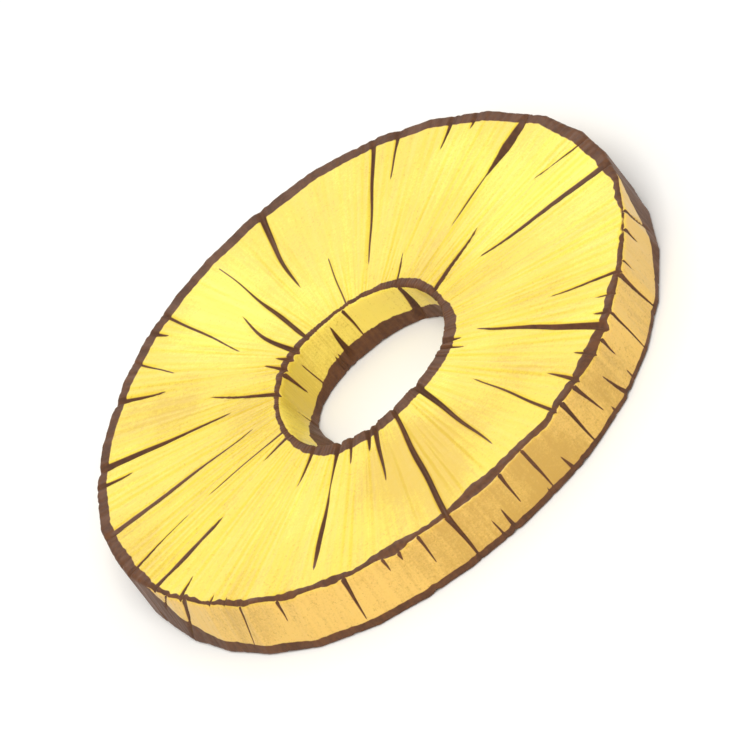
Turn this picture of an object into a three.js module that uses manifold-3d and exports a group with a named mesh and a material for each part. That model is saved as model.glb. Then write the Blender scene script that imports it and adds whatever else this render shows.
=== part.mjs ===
// A ring of fresh pineapple, lying flat: one slice across a peeled and cored fruit.
// The rind was trimmed off in flat knife cuts, the core left a round hole, and the flesh has split
// along the walls between its fruitlets, from both rims and down both walls.
// Millimetres and degrees, +Z up. The origin is the centre of the flat underside.
import * as THREE from "three";
import { mergeVertices } from "three/addons/utils/BufferGeometryUtils.js";
import Module from "manifold-3d";

// ---- driving dimensions ----
const OUTER_RADIUS = 45.15; // to the corners between the trimming cuts, at the underside
const HOLE_RADIUS = 13.75;
const THICKNESS = 9.0;

// ---- how the slice is uneven ----
const TAPER = 0.2; // the top rim is this much smaller in radius than the underside
const HOLE_SHIFT = [0.2, -0.65]; // the corer went in a little off centre
// A tongue of core was left at the foot of the hole: how far it reaches in, and how far it spreads.
const CORE_LEFT = { angle: 178, reach: 2.3, spread: 22 };
const SPLIT_CENTRE = new THREE.Vector2(0.1, -0.5); // where the splits run out from
const TRIM_CUTS = 30; // flat knife cuts round the outer wall
const CORNER_RADIUS = 0.6; // the soft edge of all four rims
// Slow swells of a radius or of the top face: [waves round the ring, height, angle of a crest].
const OUTER_SWELLS = [[1, 0.1, 50], [3, 0.23, -37], [4, 0.13, 18], [5, 0.16, 11], [6, 0.16, -6]];
const HOLE_SWELLS = [[2, 0.3, 10], [3, 0.16, -15], [4, 0.3, 41]];
const TOP_SWELLS = [[2, 0.12, 120], [3, 0.1, 75], [7, 0.06, 20]];
// How far the top rims stand over from the feet, listed in the same way: no cut went in quite upright.
const OUTER_LEAN = [[1, 1.34, 60], [2, 0.31, -21], [3, 0.48, 41]];
const HOLE_LEAN = [[1, 1.33, -167]];

// ---- splits of the top face ----
// From the outer rim inwards: [angle at the rim, angle at the tip, radius of the tip, width at the rim].
const RIM_SPLITS = [
  [25, 26, 33, 1.8], [43.5, 44, 39.5, 0.9], [55.5, 56, 38.5, 1.5], [61, 60, 22, 1.0], [86, 89.5, 24.1, 1.4],
  [112, 119, 26, 0.7], [123, 126.5, 36, 0.8], [132.5, 131.5, 37.5, 1.3], [149, 147.5, 22.4, 1.9],
  [153.5, 153.5, 39.5, 1.1], [168.5, 163.5, 20, 1.7], [190.5, 192, 31, 1.4], [199, 198, 40.4, 1.1],
  [290.5, 294, 30, 0.7], [298, 299, 38.2, 0.9], [310.5, 319, 20.2, 2.0], [324, 323, 32.5, 0.9],
  [355.5, 360, 22.8, 1.6],
];
// From the hole outwards, in the same order, with the width at the hole.
const HOLE_SPLITS = [
  [5, 14, 25.5, 1.0], [39, 44, 20.2, 0.8], [106, 99, 36, 0.8], [116, 107, 27, 1.1], [121.5, 121, 17.4, 1.0],
  [149, 137, 26.8, 1.0], [187, 187, 19.5, 1.3], [210, 214.5, 22.4, 1.1], [227.5, 229, 33, 1.0],
  [246, 246.5, 19.5, 1.3], [250.5, 251.5, 26, 1.2], [284, 279, 36, 1.3], [314, 314, 17.8, 1.6],
];
// One split runs right across, from the rim to the hole.
const THROUGH_SPLIT = { rimAngle: 262.5, holeAngle: 265, width: 1.2 };

// ---- splits of the two walls ----
// [angle at the start, angle at the end, height of the start, height of the end, width], heights as a
// share of the thickness. A split is widest at its start and runs out at its end.
const OUTER_WALL_SPLITS = [
  [200, 195, 0.95, 0, 1.1], [239, 238.5, 1, 0.2, 0.9], [271, 271, 0, 0.5, 0.8], [286, 285.5, 0, 0.4, 0.8],
  [292.5, 292.5, 1, 0, 0.9], [296.5, 297.5, 1, 0.3, 0.8], [303.8, 302, 0, 0.65, 0.9], [323, 323.7, 1, 0, 1.1],
  [340, 343, 0.85, 0.2, 0.8],
];
const HOLE_WALL_SPLITS = [[42.5, 42.5, 1, 0, 1.2], [92.5, 91.5, 0, 0.85, 0.9], [130, 127, 1, 0.25, 0.8]];
// The rest of both walls splits at uneven steps, and so does the underside, from both of its rims.
const OUTER_WALL_REST = { first: 5, last: 192, count: 11, seed: 5 };
const HOLE_WALL_REST = { first: 150, last: 385, count: 6, seed: 11 };
const UNDERSIDE_FROM_RIM = { first: 0, last: 360, count: 14, seed: 23 };
const UNDERSIDE_FROM_HOLE = { first: 0, last: 360, count: 8, seed: 31 };
// The least and the most of what is left to chance for each of these.
const STEP = [0.15, 0.85]; // where it stands in its own share of the way round
const LEAN = [-2.5, 2.5]; // from its start to its end
const REACH = [0.25, 0.8]; // share of the way across
const WIDTH = [0.6, 1.2];

// ---- chips out of the outer edge of the top ----
// [angle, length along the rim, width across it]
const RIM_CHIPS = [
  [14.5, 8, 0.9], [28.5, 6, 0.9], [131.5, 5, 1.0], [215, 5, 1.0], [226, 5, 1.3], [236.5, 3, 1.2],
  [250.5, 5, 1.3], [270.5, 10, 1.2], [287, 4, 1.0], [305, 10, 1.4], [332.5, 6, 1.0],
];
const CHIP_DEPTH = 0.35; // depth over width

// ---- meshing ----
const COLUMNS = 120; // round the ring
// Along the cross-section: underside, corner, outer wall, corner, top, corner, hole wall, corner.
const SECTION_STEPS = [2, 3, 2, 3, 4, 3, 2, 3];
const SPLIT_STATIONS = 5; // along a split
const SPLIT_DEPTH = 0.8; // depth over width
const SPLIT_DEPTH_EXTRA = 0.3; // and this much more, so that a narrow split still shows
const OVERSHOOT = 1.5; // how far a cutter runs past the rim where its split opens
const CUTTER_RISE = 0.12; // a cutter's widest line is this far outside the surface that it cuts
const SMALLEST_DETAIL = 0.01; // edges shorter than this are merged after the cuts

const wasm = await Module();
wasm.setup();

const toRadians = THREE.MathUtils.degToRad;
const mix = THREE.MathUtils.lerp;

// The sum of some slow swells at an angle in radians.
function swell(swells, angle) {
  return swells.reduce((sum, [waves, height, crest]) => {
    return sum + height * Math.cos(waves * (angle - toRadians(crest)));
  }, 0);
}

// How far a wall stands over at a share of the height, on either side of its middle.
function leaning(lean, angle, height) {
  return (height - 0.5) * swell(lean, angle);
}

// Radius of a polygon of unequal sides with its corners on the circle of the given radius.
function trimmedRadius(radius, angle) {
  const half = Math.PI / TRIM_CUTS;
  const uneven = angle + 0.05 * Math.sin(3 * angle + 0.4) + 0.03 * Math.sin(7 * angle);
  const fromMiddle = THREE.MathUtils.euclideanModulo(uneven, 2 * half) - half;
  return (radius * Math.cos(half)) / Math.cos(fromMiddle);
}

// The outer wall's radius at an angle and a share of the height.
function outerRadius(angle, height) {
  const trimmed = trimmedRadius(OUTER_RADIUS - TAPER * height, angle);
  return trimmed + swell(OUTER_SWELLS, angle) + leaning(OUTER_LEAN, angle, height);
}

// How far the tongue of core stands into the hole: most at the foot, nothing at the top.
function coreReach(angle, height) {
  const fromOpposite = angle - toRadians(CORE_LEFT.angle - 180);
  const fromMiddle = THREE.MathUtils.euclideanModulo(fromOpposite, 2 * Math.PI) - Math.PI;
  return (1 - height) * CORE_LEFT.reach * Math.exp(-((fromMiddle / toRadians(CORE_LEFT.spread)) ** 2));
}

// The hole wall's radius, measured from the ring's own centre.
function holeRadius(angle, height) {
  const shift = HOLE_SHIFT[0] * Math.cos(angle) + HOLE_SHIFT[1] * Math.sin(angle);
  const round = HOLE_RADIUS + shift - coreReach(angle, height);
  return round + swell(HOLE_SWELLS, angle) + leaning(HOLE_LEAN, angle, height);
}

function topHeight(angle) {
  return THICKNESS + swell(TOP_SWELLS, angle);
}

// A point of the ring from an angle, a share of the way from the hole wall to the outer wall, and a height.
function pointAt(angle, share, height) {
  const level = height / THICKNESS;
  const radius = mix(holeRadius(angle, level), outerRadius(angle, level), share);
  return new THREE.Vector3(radius * Math.cos(angle), radius * Math.sin(angle), height);
}

// A place in plan from a direction in degrees and a distance, both from where the splits run out from.
function placeFromSplits(direction, distance) {
  const angle = toRadians(direction);
  return new THREE.Vector2(Math.cos(angle), Math.sin(angle)).multiplyScalar(distance).add(SPLIT_CENTRE);
}

// The cross-section as a closed outline with soft corners, from the hole wall to the outer wall.
function crossSection() {
  const flesh = OUTER_RADIUS - HOLE_RADIUS;
  const softness = CORNER_RADIUS;
  const outline = new THREE.Path();
  outline.moveTo(softness, 0);
  outline.lineTo(flesh - softness, 0);
  outline.absarc(flesh - softness, softness, softness, -Math.PI / 2, 0);
  outline.lineTo(flesh, THICKNESS - softness);
  outline.absarc(flesh - softness, THICKNESS - softness, softness, 0, Math.PI / 2);
  outline.lineTo(softness, THICKNESS);
  outline.absarc(softness, THICKNESS - softness, softness, Math.PI / 2, Math.PI);
  outline.lineTo(0, softness);
  outline.absarc(softness, softness, softness, Math.PI, 1.5 * Math.PI);
  const points = outline.curves.flatMap((curve, i) => curve.getPoints(SECTION_STEPS[i]).slice(1));
  return [...points, points[0]].map((p) => new THREE.Vector2(p.x + HOLE_RADIUS, p.y));
}

// The whole slice before it split: a lathe of the cross-section, fitted to the uneven rims and top.
function sliceGeometry() {
  const geometry = new THREE.LatheGeometry(crossSection(), COLUMNS).rotateX(Math.PI / 2);
  const position = geometry.getAttribute("position");
  const at = new THREE.Vector3();
  for (let i = 0; i < position.count; i++) {
    at.fromBufferAttribute(position, i);
    const angle = Math.atan2(at.y, at.x);
    const share = (Math.hypot(at.x, at.y) - HOLE_RADIUS) / (OUTER_RADIUS - HOLE_RADIUS);
    const lift = topHeight(angle) / THICKNESS;
    const fitted = pointAt(angle, share, at.z * lift);
    position.setXYZ(i, fitted.x, fitted.y, fitted.z);
  }
  return geometry;
}

function toSolid(geometry) {
  const bare = geometry.clone();
  bare.deleteAttribute("normal");
  bare.deleteAttribute("uv");
  const merged = mergeVertices(bare, 1e-4);
  return new wasm.Manifold(
    new wasm.Mesh({
      numProp: 3,
      vertProperties: merged.attributes.position.array,
      triVerts: new Uint32Array(merged.index.array),
    }),
  );
}

function toGeometry(solid) {
  const mesh = solid.getMesh();
  const geometry = new THREE.BufferGeometry();
  geometry.setAttribute("position", new THREE.BufferAttribute(mesh.vertProperties, 3));
  geometry.setIndex(new THREE.BufferAttribute(mesh.triVerts, 1));
  geometry.computeVertexNormals();
  return geometry;
}

// A spindle with a four-cornered section, bent along a route: route(s) gives the centre and the
// direction into the flesh, for s from 0 at the tip to 1 at the mouth.
function spindleSolid(route, width, shape) {
  const thinnest = 0.02;
  const profile = [new THREE.Vector2(0, 0)];
  for (let i = 1; i < SPLIT_STATIONS; i++) {
    const s = i / (SPLIT_STATIONS - 1);
    profile.push(new THREE.Vector2(Math.max(shape(s), thinnest), s));
  }
  profile.push(new THREE.Vector2(0, 1));
  const geometry = new THREE.LatheGeometry(profile, 4);
  const position = geometry.getAttribute("position");
  const depth = SPLIT_DEPTH * width + SPLIT_DEPTH_EXTRA;
  const along = route(1).centre.sub(route(0).centre);
  const across = new THREE.Vector3();
  for (let i = 0; i < position.count; i++) {
    const { centre, inward } = route(position.getY(i));
    across.crossVectors(along, inward).normalize();
    centre.addScaledVector(across, (position.getX(i) * width) / 2);
    centre.addScaledVector(inward, position.getZ(i) * depth - CUTTER_RISE);
    position.setXYZ(i, centre.x, centre.y, centre.z);
  }
  return toSolid(geometry);
}

// Half-widths of a split along its length, as a share of its mouth's.
const MOUTH_WIDE = (s) => 0.65 * s ** 0.8 + 0.35 * s ** 8; // slim, from a point to a flared mouth
const EVEN = (s) => 0.55 + 0.45 * s; // open from end to end

const TOP = { heightAt: topHeight, inward: new THREE.Vector3(0, 0, -1) };
const UNDERSIDE = { heightAt: () => 0, inward: new THREE.Vector3(0, 0, 1) };

// A split of the top or the underside between two angles and radii.
function faceSplit({ heightAt, inward }, tip, mouth, width, shape) {
  const route = (s) => {
    const place = placeFromSplits(mix(tip.angle, mouth.angle, s), mix(tip.radius, mouth.radius, s));
    const centre = new THREE.Vector3(place.x, place.y, heightAt(place.angle()));
    return { centre, inward };
  };
  return spindleSolid(route, width, shape);
}

// A split of a wall between two angles and heights. share is 1 on the outer wall and 0 on the hole's.
function wallSplit([startAngle, endAngle, startHeight, endHeight, width], share) {
  const into = share === 1 ? -1 : 1;
  const distance = mix(HOLE_RADIUS, OUTER_RADIUS, share);
  const pastEdge = (height) => (height === 1 ? OVERSHOOT : height === 0 ? -OVERSHOOT : 0);
  const route = (s) => {
    const angle = placeFromSplits(mix(endAngle, startAngle, s), distance).angle();
    const height = mix(endHeight * THICKNESS, startHeight * THICKNESS + pastEdge(startHeight), s);
    const centre = pointAt(angle, share, height);
    const inward = new THREE.Vector3(into * Math.cos(angle), into * Math.sin(angle), 0);
    return { centre, inward };
  };
  return spindleSolid(route, width, MOUTH_WIDE);
}

// A chip: a flattened octahedron laid along the rim, so that it takes off the edge at a slant.
function rimChip([angle, length, width]) {
  const turn = toRadians(angle);
  const rim = pointAt(turn, 1, topHeight(turn));
  const geometry = new THREE.OctahedronGeometry(1)
    .scale(width, length / 2, width * CHIP_DEPTH)
    .rotateZ(turn)
    .translate(rim.x, rim.y, rim.z + CUTTER_RISE);
  return toSolid(geometry);
}

// Numbers between a least and a most that scatter but are the same every time.
function scattered(seed) {
  let state = seed;
  return ([least, most]) => {
    state = (state * 16807) % 2147483647;
    return mix(least, most, state / 2147483647);
  };
}

// Uneven steps between two angles, each with a lean, a reach and a width.
function scatter({ first, last, count, seed }) {
  const pick = scattered(seed);
  return Array.from({ length: count }, (_, i) => ({
    angle: mix(first, last, (i + pick(STEP)) / count),
    lean: pick(LEAN),
    reach: pick(REACH),
    width: pick(WIDTH),
  }));
}

function scatteredWallSplits(zone) {
  return scatter(zone).map(({ angle, lean, reach, width }, i) => {
    const start = i % 2;
    return [angle, angle + lean, start, Math.abs(start - reach), width];
  });
}

function rimMouth(angle) {
  return { angle, radius: OUTER_RADIUS + OVERSHOOT };
}

function holeMouth(angle) {
  return { angle, radius: HOLE_RADIUS - OVERSHOOT };
}

function topCutters() {
  const { rimAngle, holeAngle, width: throughWidth } = THROUGH_SPLIT;
  return [
    ...RIM_SPLITS.map(([mouth, tip, radius, width]) =>
      faceSplit(TOP, { angle: tip, radius }, rimMouth(mouth), width, MOUTH_WIDE)),
    ...HOLE_SPLITS.map(([mouth, tip, radius, width]) =>
      faceSplit(TOP, { angle: tip, radius }, holeMouth(mouth), width, MOUTH_WIDE)),
    faceSplit(TOP, holeMouth(holeAngle), rimMouth(rimAngle), throughWidth, EVEN),
    ...RIM_CHIPS.map(rimChip),
  ];
}

function wallCutters() {
  const { rimAngle, width } = THROUGH_SPLIT;
  const through = [rimAngle, rimAngle, 1, 0, width];
  const outer = [through, ...OUTER_WALL_SPLITS, ...scatteredWallSplits(OUTER_WALL_REST)];
  const inner = [...HOLE_WALL_SPLITS, ...scatteredWallSplits(HOLE_WALL_REST)];
  return [...outer.map((split) => wallSplit(split, 1)), ...inner.map((split) => wallSplit(split, 0))];
}

function undersideCutters() {
  const from = (mouthAt, startRadius, endRadius) => ({ angle, lean, reach, width }) => {
    const tip = { angle: angle + lean, radius: mix(startRadius, endRadius, reach) };
    return faceSplit(UNDERSIDE, tip, mouthAt(angle), width, MOUTH_WIDE);
  };
  return [
    ...scatter(UNDERSIDE_FROM_RIM).map(from(rimMouth, OUTER_RADIUS, HOLE_RADIUS)),
    ...scatter(UNDERSIDE_FROM_HOLE).map(from(holeMouth, HOLE_RADIUS, OUTER_RADIUS)),
  ];
}

const flesh = new THREE.MeshStandardMaterial({ color: 0xffe86e, roughness: 0.4, metalness: 0 });
const cutters = [...topCutters(), ...wallCutters(), ...undersideCutters()];
const cut = cutters.reduce((slice, cutter) => slice.subtract(cutter), toSolid(sliceGeometry()));
const solid = cut.simplify(SMALLEST_DETAIL);
const ring = new THREE.Mesh(toGeometry(solid), flesh);
ring.name = "ring";

const pineappleRing = new THREE.Group();
pineappleRing.add(ring);

export default pineappleRing;
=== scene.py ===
"""A ring of fresh pineapple lying flat on a pale floor: split flesh, browned rims, a trimmed outer wall.

Lengths are in metres and angles in degrees, unless a table's heading says otherwise.
"""

import math

import bpy
import numpy as np
from mathutils import Matrix, Vector


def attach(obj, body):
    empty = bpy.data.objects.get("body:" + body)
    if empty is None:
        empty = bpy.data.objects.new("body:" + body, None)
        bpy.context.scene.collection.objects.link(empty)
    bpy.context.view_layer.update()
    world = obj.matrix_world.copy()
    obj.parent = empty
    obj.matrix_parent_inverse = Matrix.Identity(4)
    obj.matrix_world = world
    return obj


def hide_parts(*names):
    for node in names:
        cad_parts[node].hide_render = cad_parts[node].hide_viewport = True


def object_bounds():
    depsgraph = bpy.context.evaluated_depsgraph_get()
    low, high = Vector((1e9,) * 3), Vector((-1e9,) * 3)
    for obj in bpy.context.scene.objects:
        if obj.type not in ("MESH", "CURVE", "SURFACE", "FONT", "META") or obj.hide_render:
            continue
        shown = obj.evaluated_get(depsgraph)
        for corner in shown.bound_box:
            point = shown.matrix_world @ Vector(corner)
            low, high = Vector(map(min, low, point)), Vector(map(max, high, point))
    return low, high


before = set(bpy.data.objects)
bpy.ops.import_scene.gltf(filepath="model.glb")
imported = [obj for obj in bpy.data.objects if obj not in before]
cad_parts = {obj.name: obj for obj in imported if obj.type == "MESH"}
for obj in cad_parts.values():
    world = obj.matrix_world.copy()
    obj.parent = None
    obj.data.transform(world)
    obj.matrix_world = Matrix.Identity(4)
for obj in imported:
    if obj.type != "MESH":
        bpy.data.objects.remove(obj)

MM = 0.001
solid_low, solid_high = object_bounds()

# ---- sizes, from the solid's box ----
TOP_RISE = 0.22 * MM  # how far the swells of the top stand over its mean height
WALL_REACH = 0.162 * MM  # how far the leaning wall stands out over the radius
OUTER_RADIUS = (solid_high.x - solid_low.x) / 2 - WALL_REACH
HOLE_SHARE = 0.3045  # the hole's radius over the ring's
HOLE_RADIUS = OUTER_RADIUS * HOLE_SHARE
THICKNESS = solid_high.z - TOP_RISE
TAPER = 0.2 * MM  # the top rim is this much smaller in radius than the underside
HOLE_SHIFT = (0.2 * MM, -0.65 * MM)  # the corer went in a little off centre
# A tongue of core was left at the foot of the hole: its angle, how far it reaches in, how far it spreads.
CORE_LEFT_ANGLE = 178
CORE_LEFT_REACH = 2.3 * MM
CORE_LEFT_SPREAD = 22
SPLIT_CENTRE = (0.1 * MM, -0.5 * MM)  # where the splits run out from
TRIM_CUTS = 30  # flat knife cuts round the outer wall
# What makes those cuts unequal: [waves round the ring, amount and phase in radians].
TRIM_UNEVENNESS = [(3, 0.05, 0.4), (7, 0.03, 0)]
CORNER_RADIUS = 0.6 * MM
# Slow swells: [waves round the ring, height in mm, angle of a crest].
OUTER_SWELLS = [(1, 0.1, 50), (3, 0.23, -37), (4, 0.13, 18), (5, 0.16, 11), (6, 0.16, -6)]
HOLE_SWELLS = [(2, 0.3, 10), (3, 0.16, -15), (4, 0.3, 41)]
TOP_SWELLS = [(2, 0.12, 120), (3, 0.1, 75), (7, 0.06, 20)]
# How far the top rims stand over from the feet, listed in the same way: no cut went in quite upright.
OUTER_LEAN = [(1, 1.34, 60), (2, 0.31, -21), (3, 0.48, 41)]
HOLE_LEAN = [(1, 1.33, -167)]

# ---- rows and columns of the mesh ----
COLUMNS = 1300
CORNER_ROWS = 3
TOP_ROWS = 36
OUTER_WALL_ROWS = 11
HOLE_WALL_ROWS = 9
UNDERSIDE_ROWS = 8
CROWDING = 0.65  # rows of the two faces stand this much closer at the rims
ON_SIDE = 0.01 * MM  # what is this close to a side of the plain ring lies on it
SAME_POINT = 0.001 * MM  # points this close are merged

# ---- splits: degrees and millimetres ----
NARROWEST = 0.1  # added all along a split
HOLE_MOUTH = 0.5  # splits from the hole start this far inside its radius
THROUGH_END = 2.5  # the split that runs right across ends this far inside it
# A split's width is that of its mouth, or one of these lists of widths at even steps from mouth to tip.
BROAD_BELLY = [0.9, 1.6, 1.9, 1.0, 0.12, 0.3, 0.2, 0]
THIN = [0.4, 0.2, 0.15, 0.15, 0.1, 0.05, 0]
EVEN = [0.8, 0.75, 0.7, 0.68, 0.6, 0.45, 0.2, 0]
EVEN_THEN_TAPERED = [1.4, 1.2, 1.15, 1.05, 0.9, 0.7, 0.4, 0.1]
WAVY = [1.2, 0.75, 0.6, 0.85, 0.85, 0.6, 0.7, 0.3]
SHORT_FLARE = [1.4, 0.35, 0.2, 0.15, 0.1, 0.05]
SLIM_BELLY = [0.3, 0.5, 0.5, 0.38, 0.18, 0.06, 0.02, 0]
NECK = [0.9, 0.55, 0.2, 0.05, 0.35, 0.7, 0.65, 0.3]
FROM_NARROW = [0.6, 0.95, 1.2, 1.35, 1.4, 1.4]
BROAD_THEN_TAPERED = [0.9, 0.8, 0.7, 0.6, 0.45, 0.25, 0.05]
# Of the top, from the outer rim: [angle at the rim, angle at the tip, radius of the tip, width], and in some
# rows how far the middle is bent aside, in mm.
TOP_RIM_SPLITS = [
    (6, 9.5, 35.6, 0.5), (25, 26, 24.3, BROAD_BELLY), (38, 38, 42.3, 0.9), (43.5, 44, 39, 0.9),
    (55.5, 56, 35.6, SHORT_FLARE), (61, 60, 19.5, 0.8), (86, 89.5, 23.9, 1.4, 0.55), (112, 119, 24.8, 0.5),
    (116.5, 116.5, 41.3, 0.8), (123, 126.5, 35.6, 0.35), (132.5, 131.5, 36, 1.3), (149, 147.5, 22.2, 1.9),
    (153.5, 153.5, 39, 1.1), (168.5, 163.5, 18.7, 1.7), (182, 180, 32.6, 0.6), (190.5, 192, 30.4, WAVY),
    (199, 198, 40, 1.1), (207, 207, 42.3, 0.8), (211, 211, 42.5, 0.7), (290.5, 295, 23.9, 0.6),
    (298, 299, 37.8, 0.9), (304.5, 304.5, 40.8, 0.9), (310.5, 319, 20, 2.0), (314, 314, 41.3, 0.9),
    (318.5, 318.5, 40.8, 0.5), (324, 323, 32.2, 0.9), (355.5, 360, 22.6, EVEN_THEN_TAPERED),
]
# Of the top, from the hole.
TOP_HOLE_SPLITS = [
    (5, 14, 25.5, EVEN), (39, 44, 20.2, THIN), (74.5, 76.5, 25.6, 0.12), (106, 99, 41.7, SLIM_BELLY),
    (116, 107, 29.5, 1.1, 0.9), (121.5, 121, 17.2, 1.0), (129.5, 126, 18.6, 0.8), (149, 137, 26.8, 1.0),
    (181, 179.5, 29.1, 0.5), (187, 187, 20, 1.3), (210, 214.5, 22.4, 1.1), (227.5, 231.5, 39.1, NECK),
    (236, 237.5, 20.4, 0.7), (246.5, 246.5, 19.4, 1.3), (251, 251.5, 27.4, 1.2), (284, 279, 37.8, 1.3),
    (311.5, 310, 18.7, 0.8), (316, 316, 17.6, 1.6),
]
THROUGH_SPLIT_RIM = 262.5  # one split runs right across the top, from the rim to the hole
THROUGH_SPLIT_HOLE = 265
THROUGH_SPLIT_WIDTHS = [0.8, 0.75, 0.7, 0.72, 0.6, 0.45, 0.35]
# Of the walls: [start angle, end angle, start height, end height, width], with heights as shares of the
# thickness, and in some rows how far the middle is bent aside, in mm.
OUTER_WALL_SPLITS = [
    (200, 195, 0.95, 0, 1.1), (195, 190, 1, 0.5, 0.5), (215, 213.5, 1, 0.2, 0.4), (223.8, 223.8, 1, 0.6, 0.6),
    (239, 238.5, 1, 0.2, 0.9), (247.5, 247.5, 1, 0.75, 0.5), (251, 251, 1, 0.85, 0.7),
    (255.7, 255.7, 1, 0.45, 0.5), (262.5, 262.5, 1, -0.2, 1.0), (268.4, 268.4, 0, 0.45, 0.4),
    (271, 271, 0, 0.5, 0.8), (275, 274.5, 1, 0.35, 0.6), (280, 280, 0, 0.2, 0.7), (281, 281, 0.6, 0.05, 0.4),
    (286, 285.5, 0, 0.4, 0.8), (292.5, 292.5, 1, 0, 0.9), (296.5, 297.5, 1, 0.3, 0.8),
    (299.3, 299.3, 0, 0.2, 0.5), (303.8, 302, 0, 0.65, 0.9), (307, 307, 0, 0.25, 0.4),
    (307.8, 307.8, 1, 0.6, 0.7), (313.8, 313.8, 1, 0, 0.5), (323, 323.7, 1, 0, 1.1),
    (326.5, 326.5, 1, 0.75, 0.4), (335, 335, 0.95, 0.65, 0.7), (340, 343, 0.85, 0.2, 0.8),
]
HOLE_WALL_SPLITS = [
    (37.5, 46, 1, 0, FROM_NARROW, -0.5), (78.7, 78.7, 1, 0.3, 0.4),
    (92, 90.7, 0, 0.88, BROAD_THEN_TAPERED, 0.25), (98, 98, 0, 0.4, 0.5), (101, 101, 0, 0.4, 0.5),
    (116.8, 119.2, 0.1, 0.8, 0.1), (132.7, 129.3, 1, 0.42, 0.8), (147.4, 150, 0.1, 0.55, 0.5),
]
# Where nothing is listed, splits stand at uneven steps: [first angle, last angle, how many, seed].
OUTER_WALL_REST = (5, 192, 17, 5)
HOLE_WALL_REST = (195, 375, 8, 11)
UNDERSIDE_FROM_RIM = (0, 360, 22, 23)
UNDERSIDE_FROM_HOLE = (0, 360, 13, 31)
# The least and the most of what is left to chance for each of those.
STEP = (0.15, 0.85)  # where it stands in its own share of the way round
LEAN = (-2.5, 2.5)  # from its start to its end, in degrees
REACH = (0.25, 0.85)  # share of the way across
WIDTH = (0.5, 1.2)

# ---- chips out of the outer edge of the top: degrees and millimetres ----
# [angle, length along the rim, width across it]
RIM_CHIPS = [
    (14.5, 8, 0.9), (28.5, 6, 0.9), (131.5, 5, 1.0), (215, 5, 1.0), (226, 5, 1.3), (236.5, 3, 1.2),
    (250.5, 5, 1.3), (270.5, 10, 1.2), (287, 4, 1.0), (305, 10, 1.4), (332.5, 6, 1.0),
]
CHIP_DEPTH = 0.35  # depth over width
CHIP_BLUNTNESS = 0.6  # under 1, a chip keeps its width nearly to its ends
CHIP_UNEVENNESS = 0.2  # its width varies by this share, in this many waves round the ring
CHIP_WAVES = 160

# ---- ragged edges and fibres: ridges and notches that run across the ring ----
# Notches in the edges of the top: [depth in mm, crests round the ring, seed, how far they reach in mm].
RAGGED_RIM = (0.06, 60, 3, 1.0)
RAGGED_HOLE = (0.07, 30, 4, 0.8)
# Ridges: [height in mm, crests round the ring, seed].
TOP_FIBRES = [(0.04, 170, 7), (0.06, 36, 8)]
OUTER_WALL_FIBRES = [(0.03, 60, 9), (0.03, 170, 10)]
HOLE_WALL_FIBRES = [(0.04, 30, 12)]

# ---- browning along the rims: [angle, width in mm] ----
FRONT, BACK = 270, 90  # the side where the outer wall shows, and the opposite one
HOLE_BACK = 115  # the side where the hole's wall shows
BROWNED_TOP_RIM = [
    (0, 2.0), (10, 2.2), (20, 1.8), (30, 2.1), (50, 2.1), (70, 2.4), (80, 2.8), (100, 2.5), (130, 2.1),
    (145, 1.8), (170, 1.9), (182, 1.9), (190, 1.0), (198, 0.7), (210, 0.9), (230, 1.2), (243, 1.1),
    (251, 1.9), (259, 0.9), (270, 2.0), (281, 1.7), (289, 1.1), (297, 1.8), (303, 1.9), (310, 1.6),
    (318, 1.6), (325, 1.0), (336, 0.6), (345, 0.8), (352, 1.4),
]
BROWNED_FOOT = [
    (0, 10.5), (5, 8), (12, 5.5), (22, 3.8), (40, 2.4), (60, 1.7), (90, 1.4), (120, 1.7), (140, 2.4),
    (158, 3.8), (168, 5.5), (175, 8), (181, 10.5), (188, 9.5), (193, 7), (197, 4.6), (202, 3), (208, 2.2),
    (218, 1.8), (231, 1.5), (257, 1.4), (283, 1.3), (300, 1.0), (320, 1.0), (330, 1.4), (337, 2.3),
    (343, 4.6), (347, 7), (351, 9.5),
]
BROWNED_HOLE_TOP = [
    (0, 1.1), (15, 1.4), (25, 1.6), (45, 1.5), (60, 1.0), (80, 0.8), (95, 1.0), (115, 1.5), (130, 1.3),
    (150, 0.9), (170, 0.8), (195, 1.1), (215, 1.8), (230, 2.7), (240, 2.6), (290, 2.7), (310, 2.7),
    (330, 2.3), (342, 1.7), (352, 1.1),
]
BROWNED_HOLE_FOOT = [
    (0, 4.5), (15, 4.6), (25, 4.0), (35, 3.3), (48, 3.0), (60, 3.2), (90, 3.3), (109, 2.9), (122, 2.0),
    (137, 1.7), (150, 2.3), (160, 3.5), (180, 5.0), (200, 3.2), (220, 2.0), (270, 1.8), (340, 3.0),
]
SPILL_NEAR = 0.2  # how far browning runs over the edge of the top on the side where the wall shows, in mm
SPILL_FAR = 0.6  # the same on the other side
SPILL_UNDER = 1.2  # and from the feet of the walls on to the underside
# How much the edges of the bands wander, in mm.
TOP_RIM_WANDER = 0.1
TOP_RIM_WANDER_NEAR = 0.3  # added on the side where the outer wall shows
FOOT_WANDER = 0.12
FOOT_WANDER_FAR = 1.2  # added on the opposite side
HOLE_WANDER = 0.13
WANDERS = [(0.7, 33), (0.3, 100)]  # the ripples in that: [share, crests round the ring]
BAND_SLOPE = 2  # a browned value falls by 1 in this many mm across its band

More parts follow.
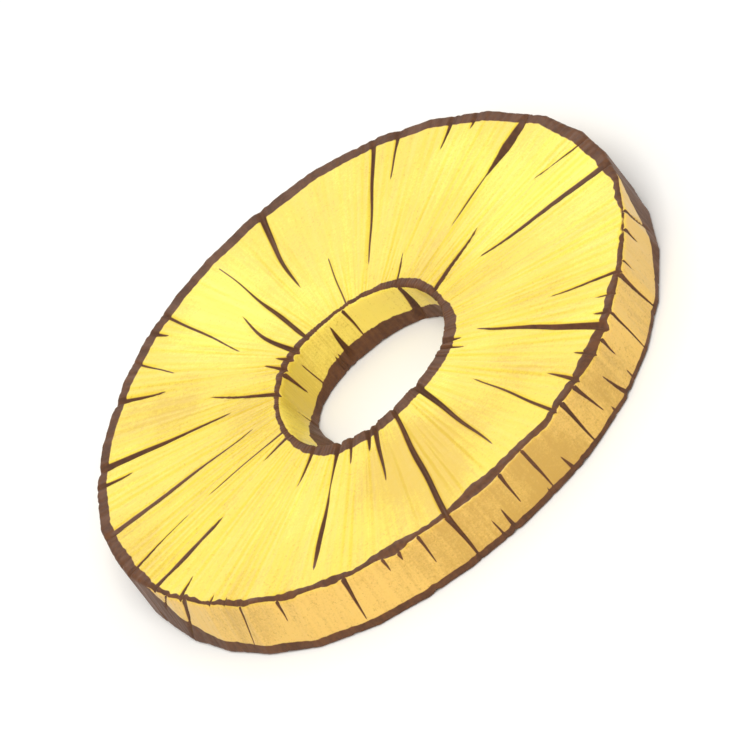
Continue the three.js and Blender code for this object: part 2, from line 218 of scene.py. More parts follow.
# ---- paler and deeper flesh: a tone from -1, deep, to 1, pale ----
# Of the top: [angle, radius in mm, spread in mm, tone].
TOP_TONES = [
    (12, 34, 12, 0.75), (35, 38, 7, 0.4), (112, 30, 9, 1.0), (100, 38, 7, 0.8), (200, 34, 11, 0.5),
    (282, 19, 5, 0.3), (215, 25, 8, 0.3), (240, 34, 8, 0.3), (264, 27, 9, -1.3), (268, 38, 6, -0.6),
    (137, 31, 7, -0.8), (150, 20, 5, -0.7), (155, 32, 6, 0.4), (76, 33, 9, -0.6), (58, 24, 6, -0.4),
    (342, 21, 8, -0.4), (320, 31, 9, -0.3), (295, 33, 8, -0.7), (181, 41, 5, -0.5),
]
# Of the walls: [angle, spread in degrees, tone].
OUTER_TONES = [
    (11, 10, -1.0), (170, 10, -1.0), (205, 9, 0.5), (228, 22, 0.7), (250, 10, 0.3), (275, 12, -1.0),
    (340, 8, 0.6),
]
# On the hole's wall, the pale patch at 175 degrees is painted light: it lifts the part that the key light
# reaches least.
HOLE_TONES = [(45, 30, 0.8), (137, 18, -1.0), (175, 15, 1.0)]
WALL_TINT_REACH = 0.5 * MM  # the walls' colours, with the outer wall's painted shade and the hole's painted light, reach this far on to the two faces

# ---- the view and the floor ----
VIEW_ELEVATION = 34.4
VIEW_ROLL = 41.5
VIEW_WIDTH = 106.1 * MM  # what the picture's width takes in at the ring
VIEW_AIM = Vector((0.12, -1.71, 6.5)) * MM
LENS = 1500
SENSOR = 36
CLIP_NEAR, CLIP_FAR = 0.01, 50  # what the camera takes in
FLOOR_SIZE = 8
FLOOR_DROP = 0.02 * MM  # the floor lies this far under the ring


# ================================ the form ================================


def swell(swells, angle):
    """The sum of some slow swells at angles in radians."""
    return sum(height * np.cos(waves * (angle - math.radians(crest))) for waves, height, crest in swells) * MM


def trimmed_radius(radius, angle):
    """Radius of a polygon of unequal sides with its corners on the circle of the given radius."""
    half = math.pi / TRIM_CUTS
    shift = sum(amount * np.sin(waves * angle + phase) for waves, amount, phase in TRIM_UNEVENNESS)
    from_middle = np.mod(angle + shift, 2 * half) - half
    return radius * math.cos(half) / np.cos(from_middle)


def leaning(lean, angle, height):
    """How far a wall stands over at a share of the height, on either side of its middle."""
    return (height - 0.5) * swell(lean, angle)


def outer_radius(angle, height):
    """The outer wall's radius at an angle and a share of the height."""
    trimmed = trimmed_radius(OUTER_RADIUS - TAPER * height, angle)
    return trimmed + swell(OUTER_SWELLS, angle) + leaning(OUTER_LEAN, angle, height)


def turn_between(angle, centre):
    """The signed angle from one angle to another, in radians."""
    return np.mod(angle - centre + math.pi, 2 * math.pi) - math.pi


def core_reach(angle, height):
    """How far the tongue of core stands into the hole: most at the foot, nothing at the top."""
    from_middle = turn_between(angle, math.radians(CORE_LEFT_ANGLE)) / math.radians(CORE_LEFT_SPREAD)
    return (1 - height) * CORE_LEFT_REACH * np.exp(-from_middle**2)


def hole_radius(angle, height):
    """The hole's radius in the same way, with the hole off centre and the tongue of core in it."""
    shift = HOLE_SHIFT[0] * np.cos(angle) + HOLE_SHIFT[1] * np.sin(angle)
    round_hole = HOLE_RADIUS + shift - core_reach(angle, height)
    return round_hole + swell(HOLE_SWELLS, angle) + leaning(HOLE_LEAN, angle, height)


def select_edges(blank, wanted):
    """Selects the edges of a mesh whose middle passes a test, and no others."""
    bpy.ops.mesh.select_mode(type="EDGE")
    bpy.ops.mesh.select_all(action="DESELECT")
    bpy.ops.object.mode_set(mode="OBJECT")
    points = blank.data.vertices
    for edge in blank.data.edges:
        first, second = (points[i].co for i in edge.vertices)
        edge.select = wanted((first + second) / 2)
    bpy.ops.object.mode_set(mode="EDIT")


def plain_ring():
    """A round, even ring: a rectangle with soft corners, divided into rows and spun round the hole."""
    middle = ((OUTER_RADIUS + HOLE_RADIUS) / 2, 0, THICKNESS / 2)
    reach = OUTER_RADIUS - HOLE_RADIUS
    bpy.ops.object.select_all(action="DESELECT")
    bpy.ops.mesh.primitive_plane_add(size=1, location=middle, rotation=(math.pi / 2, 0, 0))
    blank = bpy.context.object
    blank.name = "pineapple_ring"
    blank.scale = (reach, THICKNESS, 1)
    bpy.ops.object.transform_apply(location=True, rotation=True, scale=True)
    bpy.ops.object.mode_set(mode="EDIT")
    bpy.ops.mesh.select_all(action="SELECT")
    bpy.ops.mesh.bevel(offset=CORNER_RADIUS, segments=CORNER_ROWS, affect="VERTICES")
    bpy.ops.mesh.delete(type="ONLY_FACE")
    sides = [
        (TOP_ROWS, lambda at: at.z > THICKNESS - ON_SIDE),
        (UNDERSIDE_ROWS, lambda at: at.z < ON_SIDE),
        (OUTER_WALL_ROWS, lambda at: at.x > OUTER_RADIUS - ON_SIDE),
        (HOLE_WALL_ROWS, lambda at: at.x < HOLE_RADIUS + ON_SIDE),
    ]
    for rows, wanted in sides:
        select_edges(blank, wanted)
        bpy.ops.mesh.subdivide(number_cuts=rows - 1)
    bpy.ops.object.mode_set(mode="OBJECT")
    crowd_rows(blank)
    bpy.ops.object.modifier_add(type="SCREW")
    turn = blank.modifiers[-1]
    turn.steps = turn.render_steps = COLUMNS
    turn.use_merge_vertices = True
    turn.merge_threshold = SAME_POINT
    bpy.ops.object.modifier_apply(modifier=turn.name)
    bpy.ops.object.mode_set(mode="EDIT")
    bpy.ops.mesh.select_all(action="SELECT")
    bpy.ops.mesh.remove_doubles(threshold=SAME_POINT)
    bpy.ops.mesh.normals_make_consistent(inside=False)
    bpy.ops.object.mode_set(mode="OBJECT")
    return blank


def crowd_rows(blank):
    """Slides the rows of the two flat faces towards the rims, where the fine detail is."""
    start = HOLE_RADIUS + CORNER_RADIUS
    reach = OUTER_RADIUS - HOLE_RADIUS - 2 * CORNER_RADIUS
    for point in blank.data.vertices:
        share = (point.co.x - start) / reach
        if min(point.co.z, THICKNESS - point.co.z) < ON_SIDE and 0 < share < 1:
            point.co.x = start + reach * (share - CROWDING * math.sin(2 * math.pi * share) / (2 * math.pi))


# ================================ the relief ================================


def get_points(mesh):
    flat = np.empty(len(mesh.vertices) * 3)
    mesh.vertices.foreach_get("co", flat)
    return flat.reshape(-1, 3)


def set_points(mesh, points):
    mesh.vertices.foreach_set("co", points.ravel())
    mesh.update()


def set_attribute(mesh, name, values):
    attribute = mesh.attributes.new(name, "FLOAT", "POINT")
    attribute.data.foreach_set("value", values.astype(np.float32))


def scatter(first, last, count, seed):
    """Uneven steps between two angles: rows of [angle, lean, reach from 0 to 1, width in mm]."""
    random = np.random.default_rng(seed)
    steps = np.arange(count) + random.uniform(*STEP, count)
    angles = first + (last - first) * steps / count
    chances = [random.uniform(*limits, count) for limits in (LEAN, REACH, WIDTH)]
    return np.stack([angles, *chances], axis=1).tolist()


def scattered_wall_splits(first, last, count, seed):
    rows = scatter(first, last, count, seed)
    starts = [i % 2 for i in range(count)]
    return [
        (angle, angle + lean, start, abs(start - reach), width)
        for start, (angle, lean, reach, width) in zip(starts, rows)
    ]


def smooth_widths(widths, along):
    """The widths that are listed at even steps, joined by smooth curves."""
    step = np.clip(along, 0, 1) * (len(widths) - 1)
    first = np.minimum(step.astype(int), len(widths) - 2)
    past = step - first
    widths = np.array(widths)
    return widths[first] + (widths[first + 1] - widths[first]) * past * past * (3 - 2 * past)


class Splits:
    """The splits of one side of the ring: at each point, the nearest one's middle line and half-width."""

    FAR = 3 * MM  # as far from a split as is told apart
    NEARBY = 0.25  # how far round from its middle a straight split is looked for, in radians
    PAST_TIP = 1.5 * MM  # a split is felt this far beyond its tip
    LIP = 1.0 * MM  # and this far beyond its edge
    DIVIDE = 0.4 * MM  # half the width of the strip between two splits where neither is felt
    CLOSING = 8  # how fast the half-width falls where a split isn't felt
    RUN_POINTS = 20  # points along a middle line
    WOBBLE = 0.1 * MM  # how far a middle line wanders
    WOBBLE_LENGTH = 2.4 * MM  # how far it runs while its wandering turns by a radian
    WOBBLE_SHIFT = 2.4  # how many radians each split's wandering is ahead of the last one's
    FLARE = 0.35  # the share of a mouth's width that is its flare
    FLARE_LENGTH = 1.1 * MM  # how fast that dies away
    BLUNTNESS = 0.8  # under 1, a split keeps its width nearly to its tip, and its depth nearly to its sides
    DEEPEST = 1.2 * MM
    EXTRA_DEPTH = 0.2 * MM  # a groove is at most this much deeper than half its width
    SOFT_SIDE = 0.12 * MM  # how far a groove's sides slope on beyond its edges
    TIP_SLOPE = 0.1  # the share of its length over which a groove rises to its tip
    MOUTH_DEPTH = 0.3  # share of its depth at the mouth
    MOUTH_SLOPE = 3 * MM  # how fast it grows from there

    def __init__(self, angle, place, reach, on_face):
        self.angle, self.place, self.reach, self.on_face = angle, place, reach, on_face
        self.aside = np.zeros(len(angle))
        self.depth = np.zeros(len(angle))
        self.half = np.full(len(angle), -self.FAR)
        self.beside = np.full(len(angle), self.FAR)  # the distance from the nearest split's edge
        self.beside_next = np.full(len(angle), 2 * self.FAR)  # and from the next nearest one's
        self.made = 0

    def run(self, first, last, start, end, place):
        """The angles of a split's middle line: straight across a face, or evenly up a wall."""
        steps = np.linspace(0, 1, self.RUN_POINTS)
        places, angles = start + (end - start) * steps, first + (last - first) * steps
        if self.on_face:
            mouth, tip = start * np.exp(1j * first), end * np.exp(1j * last)
            line = mouth + (tip - mouth) * steps
            places, angles = np.abs(line), first + turn_between(np.angle(line), first)
        order = np.argsort(places)
        return np.interp(place, places[order], angles[order])

    def width_along(self, width, along, length):
        """A split's width in mm: from its list, or tapered from its mouth, which is flared."""
        if isinstance(width, list):
            return smooth_widths(width, along)
        taper = np.clip(1 - along, 0, 1) ** self.BLUNTNESS
        flare = np.exp(-along * length / self.FLARE_LENGTH)
        return width * ((1 - self.FLARE) * taper + self.FLARE * flare)

    def groove(self, aside, half, along, length):
        """How deep a split is cut: as its width allows, and less towards its tip and its mouth."""
        deepest = np.clip(half + np.minimum(half, self.EXTRA_DEPTH), 0, self.DEEPEST)
        deepest *= np.clip((1 - along) / self.TIP_SLOPE, 0, 1)
        deepest *= np.clip(self.MOUTH_DEPTH + along * length / self.MOUTH_SLOPE, 0, 1)
        side = np.maximum(half, 0) + self.SOFT_SIDE
        return deepest * np.clip(1 - np.abs(aside) / side, 0, 1) ** self.BLUNTNESS

    def cut(self, start_angle, end_angle, start, end, width, bend=0):
        """One split between two angles, and two places on the way from its mouth to its tip."""
        self.made += 1
        first, last = math.radians(start_angle), math.radians(end_angle)
        length = abs(end - start)
        beyond = self.PAST_TIP / length
        along = (self.place - start) / (end - start)
        nearby = np.abs(turn_between(self.angle, (first + last) / 2)) < self.NEARBY + abs(last - first)
        found = np.flatnonzero((along < 1 + beyond) & nearby)
        along, place = np.maximum(along[found], 0), self.place[found]
        turned = place / self.WOBBLE_LENGTH + self.WOBBLE_SHIFT * self.made
        wobble = self.WOBBLE * np.sin(turned) * np.minimum(2 * along, 1)
        centre = self.run(first, last, start, end, place)
        bent = bend * MM * np.sin(math.pi * np.minimum(along, 1))
        aside = turn_between(self.angle[found], centre) * self.reach[found] + wobble - bent
        wide = self.width_along(width, along, length) - np.maximum(along - 1, 0) / beyond
        half = (wide + NARROWEST * (along < 1)) * MM / 2
        self.depth[found] = np.maximum(self.depth[found], self.groove(aside, half, along, length))

        beside = np.abs(aside) - half
        before = self.beside[found]
        nearest = beside < before
        self.beside_next[found] = np.where(nearest, before, np.minimum(self.beside_next[found], beside))
        found, aside, half, beside = (values[nearest] for values in (found, aside, half, beside))
        self.aside[found] = np.clip(aside, -self.FAR, self.FAR)
        self.half[found], self.beside[found] = half, beside

    def felt_half(self):
        """The half-widths, closed beyond the lips and half-way between two splits."""
        divide = np.clip(1 - (self.beside_next - self.beside) / self.DIVIDE, 0, 1)
        closed = np.maximum(self.beside - self.LIP, 0) + divide * np.maximum(self.beside, 0)
        return np.maximum(self.half - self.CLOSING * closed, -self.FAR)


def ripple(angle, across, crests, seed):
    """Uneven ridges that run across the ring, mostly from -1 to 1, with about that many crests round it."""
    waves, drift_length, usual_crest = 7, 6 * MM, 1.5
    random = np.random.default_rng(seed)
    total = np.zeros(len(angle))
    for _ in range(waves):
        count = round(crests * random.uniform(0.5, 1.5))
        phase, drift = random.uniform(0, 2 * math.pi), random.uniform(-1, 1)
        total += np.cos(count * angle + phase + drift * across / drift_length)
    return total / math.sqrt(waves) / usual_crest


def ridges(angle, across, rows):
    """The sum of some ripples, each with its own height."""
    return sum(height * ripple(angle, across, crests, seed) for height, crests, seed in rows) * MM


def ragged_edge(angle, radius, inwards, depth, crests, seed, reach):
    """How deep the notches of an edge take the top down, by the distance in from the edge."""
    notches = np.clip(ripple(angle, radius, crests, seed), 0, 1)
    return depth * MM * notches * np.exp(-inwards / (reach * MM))


def top_splits(angle, radius):
    splits = Splits(angle, radius, radius, on_face=True)
    for mouth, rows in [(OUTER_RADIUS, TOP_RIM_SPLITS), (HOLE_RADIUS - HOLE_MOUTH * MM, TOP_HOLE_SPLITS)]:
        for start, end, tip, width, *bend in rows:
            splits.cut(start, end, mouth, tip * MM, width, *bend)
    through_end = HOLE_RADIUS - THROUGH_END * MM
    splits.cut(THROUGH_SPLIT_RIM, THROUGH_SPLIT_HOLE, OUTER_RADIUS, through_end, THROUGH_SPLIT_WIDTHS)
    return splits


def underside_splits(angle, radius):
    splits = Splits(angle, radius, radius, on_face=True)
    for zone, mouth, far in [
        (UNDERSIDE_FROM_RIM, OUTER_RADIUS, HOLE_RADIUS),
        (UNDERSIDE_FROM_HOLE, HOLE_RADIUS, OUTER_RADIUS),
    ]:
        for start, lean, reach, width in scatter(*zone):
            splits.cut(start, start + lean, mouth, mouth + (far - mouth) * reach, width)
    return splits


def wall_splits(angle, height, reach, rows):
    splits = Splits(angle, height * THICKNESS, reach, on_face=False)
    for start, end, from_height, to_height, width, *bend in rows:
        splits.cut(start, end, from_height * THICKNESS, to_height * THICKNESS, width, *bend)
    return splits


def chipped(angle, from_rim):
    """How deep the chips take the top down, by the distance in from the outer rim."""
    depth = np.zeros(len(angle))
    for middle, length, width in RIM_CHIPS:
        along = np.abs(turn_between(angle, math.radians(middle))) * OUTER_RADIUS / (length * MM / 2)
        uneven = width * MM * (1 + CHIP_UNEVENNESS * np.sin(CHIP_WAVES * angle + middle))
        bite = np.clip(1 - along**2, 0, 1) ** CHIP_BLUNTNESS * np.clip(1 - from_rim / uneven, 0, 1)
        depth = np.maximum(depth, CHIP_DEPTH * width * MM * bite)
    return depth


def facing(angle, towards):
    """1 on the side of the ring at an angle, 0 on the opposite side."""
    steepness = 1.5
    return np.clip(0.5 + steepness * np.cos(angle - math.radians(towards)), 0, 1)


def browned_band(angle, across, over, widths, spill, wander, seed):
    """The browning along one rim, over 0.5 inside its band: as wide as listed on one side of the edge,
    and running over to the other side as far as the spill, in mm."""
    angles, means = zip(*widths)
    width = np.interp(np.degrees(angle), angles, means, period=360)
    for i, (amount, crests) in enumerate(WANDERS):
        width += wander * amount * ripple(angle, 0, crests, seed + i)
    return np.clip(0.5 + (width * (1 - over / (spill * MM)) - across / MM) / BAND_SLOPE, 0, 1)


def patches(place, rows):
    """The sum of some soft patches, from -1 to 1: each at a place, with a spread and an amount."""
    total = sum(amount * np.exp(-(np.abs(place - middle) / spread) ** 2) for middle, spread, amount in rows)
    return np.clip(total, -1, 1)


def tones(angle, radius, on_outer, on_hole):
    """How pale or deep the flesh is."""
    top = [
        (far * MM * np.exp(1j * math.radians(turned)), spread * MM, tone)
        for turned, far, spread, tone in TOP_TONES
    ]
    total = patches(radius * np.exp(1j * angle), top) * (1 - on_outer) * (1 - on_hole)
    for weight, rows in [(on_outer, OUTER_TONES), (on_hole, HOLE_TONES)]:
        total += weight * patches(np.mod(np.degrees(angle), 360), rows)
    return total


def stored_splits(splits, beyond):
    """The middle lines and half-widths that the finish reads, in mm. A split goes on a little over the edge
    that it runs out at, and then closes."""
    over_edge, closing = 0.15 * MM, 2.5
    half = splits.felt_half() - closing * np.maximum(beyond - over_edge, 0)
    return {"aside": splits.aside / MM, "half": half / MM}


def set_splits(mesh, name, here, near, far):
    """Stores the near splits where the test holds, and those of the opposite side elsewhere."""
    near, far = stored_splits(*near), stored_splits(*far)
    for part in near:
        set_attribute(mesh, f"{name}_{part}", np.where(here, near[part], far[part]))


def browning(angle, from_rim, from_hole, below_top, above_foot):
    """How browned the flesh is along the four rims: over 0.5 inside the bands."""
    front, back, hole_back = facing(angle, FRONT), facing(angle, BACK), facing(angle, HOLE_BACK)
    rim_spill = SPILL_NEAR * front + SPILL_FAR * back
    hole_spill = SPILL_NEAR * hole_back + SPILL_FAR * (1 - hole_back)
    rim_wander = TOP_RIM_WANDER + TOP_RIM_WANDER_NEAR * front
    foot_wander = FOOT_WANDER + FOOT_WANDER_FAR * back
    bands = [
        browned_band(angle, from_rim, below_top, BROWNED_TOP_RIM, rim_spill, rim_wander, 20),
        browned_band(angle, above_foot, from_rim, BROWNED_FOOT, SPILL_UNDER, foot_wander, 22),
        browned_band(angle, from_hole, below_top, BROWNED_HOLE_TOP, hole_spill, HOLE_WANDER, 24),
        browned_band(angle, above_foot, from_hole, BROWNED_HOLE_FOOT, SPILL_UNDER, HOLE_WANDER, 26),
    ]
    return np.max(bands, axis=0)


def shape_ring(ring):
    """Fits the plain ring to its uneven rims, cuts the relief, and stores what the finish reads."""
    mesh = ring.data
    plain = get_points(mesh)
    angle = np.arctan2(plain[:, 1], plain[:, 0])
    share = (np.hypot(plain[:, 0], plain[:, 1]) - HOLE_RADIUS) / (OUTER_RADIUS - HOLE_RADIUS)
    height = plain[:, 2] / THICKNESS

    outer, hole = outer_radius(angle, height), hole_radius(angle, height)
    radius = hole + (outer - hole) * share
    level = plain[:, 2] * (1 + swell(TOP_SWELLS, angle) / THICKNESS)
    from_rim, from_hole = outer - radius, radius - hole
    below_top, above_foot = THICKNESS * (1 - height), THICKNESS * height

    x, y = radius * np.cos(angle) - SPLIT_CENTRE[0], radius * np.sin(angle) - SPLIT_CENTRE[1]
    direction, distance = np.arctan2(y, x), np.hypot(x, y)
    top = top_splits(direction, distance)
    underside = underside_splits(direction, distance)
    outer_rows = OUTER_WALL_SPLITS + scattered_wall_splits(*OUTER_WALL_REST)
    outer_wall = wall_splits(direction, height, outer, outer_rows)
    hole_rows = HOLE_WALL_SPLITS + scattered_wall_splits(*HOLE_WALL_REST)
    hole_wall = wall_splits(direction, height, hole, hole_rows)

    ragged_rim = ragged_edge(angle, radius, from_rim, *RAGGED_RIM)
    ragged_hole = ragged_edge(angle, radius, from_hole, *RAGGED_HOLE)
    worn = chipped(angle, from_rim) + ragged_rim + ragged_hole
    lowered = top.depth + worn - ridges(angle, radius, TOP_FIBRES)
    drawn_in = outer_wall.depth - ridges(angle, level, OUTER_WALL_FIBRES)
    pushed_out = hole_wall.depth - ridges(angle, level, HOLE_WALL_FIBRES)

    # Each side's relief fades through the thickness or the width, so that the rows keep their order.
    upper, lower = height**3, (1 - height) ** 3
    outward, inward = share**8, (1 - share) ** 8
    level += underside.depth * lower - lowered * upper
    radius += pushed_out * inward - drawn_in * outward
    set_points(mesh, np.stack([radius * np.cos(angle), radius * np.sin(angle), np.maximum(level, 0)], axis=1))

    set_splits(mesh, "face", height > 0.5, (top, below_top), (underside, above_foot))
    set_splits(mesh, "wall", share > 0.5, (outer_wall, from_rim), (hole_wall, from_hole))
    set_attribute(mesh, "browned", browning(angle, from_rim, from_hole, below_top, above_foot))
    on_outer_wall = np.clip(1 - from_rim / WALL_TINT_REACH, 0, 1)
    on_hole_wall = np.clip(1 - from_hole / WALL_TINT_REACH, 0, 1)
    set_attribute(mesh, "outer_wall", on_outer_wall)
    set_attribute(mesh, "hole_wall", on_hole_wall)
    set_attribute(mesh, "tone", tones(angle, radius, on_outer_wall, on_hole_wall))


# ================================ the finish ================================


class Field:
    """A value that changes over a surface: the output of a shader node, with arithmetic."""

    def __init__(self, tree, socket):
        self.tree, self.socket = tree, socket

    def node(self, kind, settings=None, inputs=None, output=0):
        """Any node: its settings first, then the values or links of its sockets. Gives one output."""
        made = self.tree.nodes.new(kind)
        for name, value in (settings or {}).items():
            setattr(made, name, value)
        for name, value in (inputs or {}).items():
            socket = made.inputs[name]
            if isinstance(value, Field):
                self.tree.links.new(value.socket, socket)
            else:
                socket.default_value = value
        return Field(self.tree, made.outputs[output]) if made.outputs else None

    def maths(self, operation, first, second):
        return self.node("ShaderNodeMath", {"operation": operation}, {0: first, 1: second})

    def __add__(self, other):
        return self.maths("ADD", self, other)

    def __radd__(self, other):
        return self.maths("ADD", other, self)

    def __sub__(self, other):
        return self.maths("SUBTRACT", self, other)

    def __rsub__(self, other):
        return self.maths("SUBTRACT", other, self)

    def __mul__(self, other):
        return self.maths("MULTIPLY", self, other)

    def __truediv__(self, other):
        return self.maths("DIVIDE", self, other)

    def __pow__(self, other):
        return self.maths("POWER", self, other)

    def __abs__(self):
        return self.maths("ABSOLUTE", self, 0)


def colour(red, green, blue):
    """A linear colour from its 0 to 255 screen values."""
    screen = (red / 255, green / 255, blue / 255)
    return (*(c / 12.92 if c <= 0.04045 else ((c + 0.055) / 1.055) ** 2.4 for c in screen), 1)


def attribute(field, name):
    return field.node("ShaderNodeAttribute", {"attribute_name": name}, output="Fac")


def noise(field, vector, scale, detail, roughness=0.6):
    inputs = {"Vector": vector, "Scale": scale, "Detail": detail, "Roughness": roughness}
    return field.node("ShaderNodeTexNoise", {}, inputs)


def between(field, low, high):
    """0 under the low value, 1 over the high one, and a smooth step from one to the other."""
    inputs = {"Value": field, "From Min": low, "From Max": high}
    return field.node("ShaderNodeMapRange", {"interpolation_type": "SMOOTHSTEP"}, inputs)


def blend(factor, first, second):
    """From the first colour to the second as the factor goes from 0 to 1."""
    inputs = {"Factor": factor, 6: first, 7: second}
    return factor.node("ShaderNodeMix", {"data_type": "RGBA"}, inputs, output=2)


def vector_of(x, y, z):
    return x.node("ShaderNodeCombineXYZ", {}, {0: x, 1: y, 2: z})


PALE_FLESH = colour(242, 228, 86)
FLESH = colour(235, 209, 66)
DEEP_FLESH = colour(219, 184, 52)
# The outer wall's two colours are the flesh, darkened and turned more orange with painted shade.
OUTER_FLESH_WITH_PAINTED_SHADE = colour(229, 188, 96)
OUTER_DEEP_WITH_PAINTED_SHADE = colour(196, 156, 70)
# The hole's wall's two colours are the flesh, lightened with painted light to offset the shade inside the
# hole.
HOLE_FLESH_WITH_PAINTED_LIGHT = colour(246, 222, 98)
HOLE_DEEP_WITH_PAINTED_LIGHT = colour(218, 190, 70)
TOASTED = colour(168, 112, 52)
BROWNED = colour(106, 66, 36)
BROWNED_DARK = colour(84, 53, 33)

# Where the toasted edge and the brown start and are full: by the browned value along the rims, and by how far
# inside a split's edge a point is, in mm.
RIM_TOASTED = (0.44, 0.5)
RIM_BROWN = (0.485, 0.515)
SPLIT_TOASTED = (-0.09, -0.02)
SPLIT_BROWN = (-0.04, 0.02)


def flesh_finish():
    """Wet yellow flesh with fibres that run out from the hole, browned along the rims and in the splits,
    darkened with painted shade on the outer wall and lightened with painted light on the hole's wall.
    """
    material = bpy.data.materials.new("pineapple_flesh")
    material.use_nodes = True
    tree = material.node_tree
    tree.nodes.clear()
    start = Field(tree, None)
    place = start.node("ShaderNodeTexCoord", output="Object")
    x, y, z = (place.node("ShaderNodeSeparateXYZ", {}, {0: place}, output=i) for i in range(3))
    radius = (x * x + y * y) ** 0.5
    across, up = x / radius, y / radius

    def fibres(round_ring, run, seed, detail):
        """Streaks that run out from the hole and up the walls; round_ring sets how many, run how short."""
        vector = vector_of(across * round_ring, up * round_ring, (radius + z) * run + seed)
        return noise(start, vector, 1.0, detail)

    fine = fibres(round_ring=64, run=90, seed=0, detail=3.0)
    coarse = fibres(round_ring=17, run=60, seed=7, detail=4.0)
    wedges = fibres(round_ring=4.5, run=22, seed=13, detail=1.0)
    blotches = noise(start, place, scale=38.0, detail=5.0)
    grain = noise(start, place, scale=1400.0, detail=2.0)
    fine_grain = noise(start, place, scale=3600.0, detail=2.0)
    cells = start.node("ShaderNodeTexVoronoi", {"feature": "F1"}, {"Vector": place, "Scale": 900.0})

    # Pale and deep flesh in patches, blotches, streaks, grain and dark specks.
    mottling = [(blotches, 1.1), (wedges, 0.25), (coarse, 0.35), (fine, 0.4), (fine_grain, 0.4), (grain, 0.2)]
    specks = between(noise(start, place, scale=2300.0, detail=2.0, roughness=0.7), 0.58, 0.7)
    tone = attribute(start, "tone") * 0.28 - specks * 0.22
    tone = sum(((pattern - 0.5) * amount for pattern, amount in mottling), tone + 0.5)
    face = blend(between(tone, 0.2, 0.52), DEEP_FLESH, FLESH)
    face = blend(between(tone, 0.52, 0.82), face, PALE_FLESH)
    # On the outer wall the flesh is darkened with painted shade.
    outer = blend(between(tone, 0.25, 0.7), OUTER_DEEP_WITH_PAINTED_SHADE, OUTER_FLESH_WITH_PAINTED_SHADE)
    # On the hole's wall the flesh is lightened with painted light against the shade inside the hole.
    hole = blend(between(tone, 0.25, 0.7), HOLE_DEEP_WITH_PAINTED_LIGHT, HOLE_FLESH_WITH_PAINTED_LIGHT)
    flesh = blend(attribute(start, "outer_wall"), face, outer)
    flesh = blend(attribute(start, "hole_wall"), flesh, hole)

    # Browning along the rims and in the splits, with a thin toasted edge.
    face_split = attribute(start, "face_half") - abs(attribute(start, "face_aside"))
    wall_split = attribute(start, "wall_half") - abs(attribute(start, "wall_aside"))
    opened = face_split.maths("MAXIMUM", face_split, wall_split)
    ragged = (fine - 0.5) * 0.06 + (grain - 0.5) * 0.05
    rim = attribute(start, "browned") + ragged
    toasted = rim.maths("MAXIMUM", between(rim, *RIM_TOASTED), between(opened, *SPLIT_TOASTED))
    brown = rim.maths("MAXIMUM", between(rim, *RIM_BROWN), between(opened, *SPLIT_BROWN))
    flesh = blend(toasted * 0.7, flesh, TOASTED)
    brown_tone = blend(between(coarse * 0.5 + grain * 0.5, 0.35, 0.65), BROWNED, BROWNED_DARK)
    flesh = blend(brown, flesh, brown_tone)

    # Ridges along the fibres, cells and grain; wet flesh that shines unevenly, and drier browned flesh.
    height = fine * 0.5 + coarse * 0.5 + cells * -0.35 + grain * 0.15
    bump = start.node("ShaderNodeBump", {}, {"Strength": 0.5, "Distance": 0.2 * MM, "Height": height})
    roughness = 0.34 + between(coarse, 0.3, 0.7) * 0.18 + brown * 0.16
    surface = start.node("ShaderNodeBsdfPrincipled", {}, {
        "Base Color": flesh,
        "Roughness": roughness,
        "Subsurface Weight": 0.25,
        "Subsurface Radius": (1.0, 0.7, 0.25),
        "Subsurface Scale": 1.6 * MM,
        "IOR": 1.36,
        "Coat Weight": 0.3 - brown * 0.25,
        "Coat Roughness": 0.16,
        "Normal": bump,
    })
    start.node("ShaderNodeOutputMaterial", {}, {"Surface": surface})
    return material


def floor_finish():
    material = bpy.data.materials.new("pale_floor")
    material.use_nodes = True
    surface = material.node_tree.nodes["Principled BSDF"].inputs
    surface["Base Color"].default_value = colour(247, 247, 245)
    surface["Roughness"].default_value = 0.7
    surface["Specular IOR Level"].default_value = 0.2
    return material


# ================================ the studio ================================


def add_floor():
    bpy.ops.object.select_all(action="DESELECT")
    bpy.ops.mesh.primitive_plane_add(size=FLOOR_SIZE, location=(0, 0, -FLOOR_DROP))
    floor = bpy.context.object
    floor.name = "floor"
    floor.data.materials.append(floor_finish())


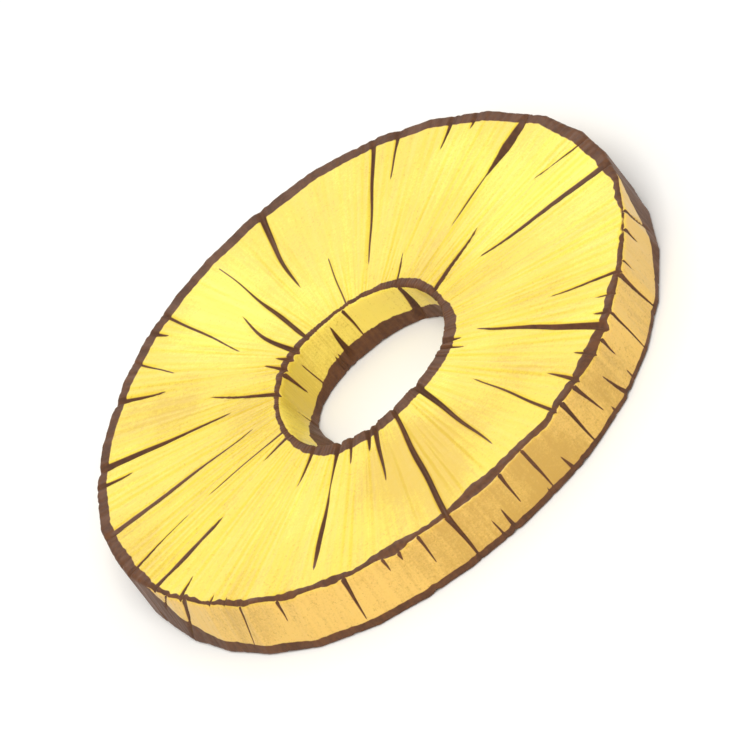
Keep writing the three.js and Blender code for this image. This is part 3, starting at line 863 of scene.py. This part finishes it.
def add_light(name, place, size, power, tint):
    light = bpy.data.lights.new(name, "AREA")
    light.size = size
    light.energy = power
    light.color = tint
    lamp = bpy.data.objects.new(name, light)
    lamp.location = place
    lamp.rotation_euler = (-Vector(place)).to_track_quat("-Z", "Y").to_euler()
    lamp.visible_camera = False
    bpy.context.scene.collection.objects.link(lamp)


def add_sky(strength):
    world = bpy.data.worlds.new("studio")
    world.use_nodes = True
    background = world.node_tree.nodes["Background"].inputs
    background["Color"].default_value = (1.0, 0.99, 0.97, 1)
    background["Strength"].default_value = strength
    bpy.context.scene.world = world


def add_camera():
    """Looks down on the ring from the front, with the picture turned so that the ring leans to the right."""
    elevation, roll = math.radians(VIEW_ELEVATION), math.radians(VIEW_ROLL)
    back = Vector((0, -math.cos(elevation), math.sin(elevation)))
    up = Vector((0, math.sin(elevation), math.cos(elevation)))
    right = Vector((1, 0, 0))
    picture_up = up * math.cos(roll) + right * math.sin(roll)
    picture_right = right * math.cos(roll) - up * math.sin(roll)
    data = bpy.data.cameras.new("camera")
    data.lens, data.sensor_width = LENS, SENSOR
    data.clip_start, data.clip_end = CLIP_NEAR, CLIP_FAR
    camera = bpy.data.objects.new("camera", data)
    camera.rotation_euler = Matrix((picture_right, picture_up, back)).transposed().to_euler()
    camera.location = VIEW_AIM + back * (VIEW_WIDTH * LENS / SENSOR)
    bpy.context.scene.collection.objects.link(camera)
    bpy.context.scene.camera = camera


ring = plain_ring()
shape_ring(ring)
ring.data.materials.append(flesh_finish())
bpy.ops.object.select_all(action="DESELECT")
ring.select_set(True)
bpy.context.view_layer.objects.active = ring
bpy.ops.object.shade_smooth()
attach(ring, "root")
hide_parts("ring")

add_floor()
add_light("key", place=(-0.04, -0.4, 0.6), size=0.5, power=3.6, tint=(1.0, 0.98, 0.95))
add_light("sheen", place=(0.02, 0.62, 0.4), size=0.3, power=0.65, tint=(1.0, 1.0, 1.0))
add_sky(strength=0.68)
add_camera()
bpy.context.scene.view_settings.view_transform = "Standard"
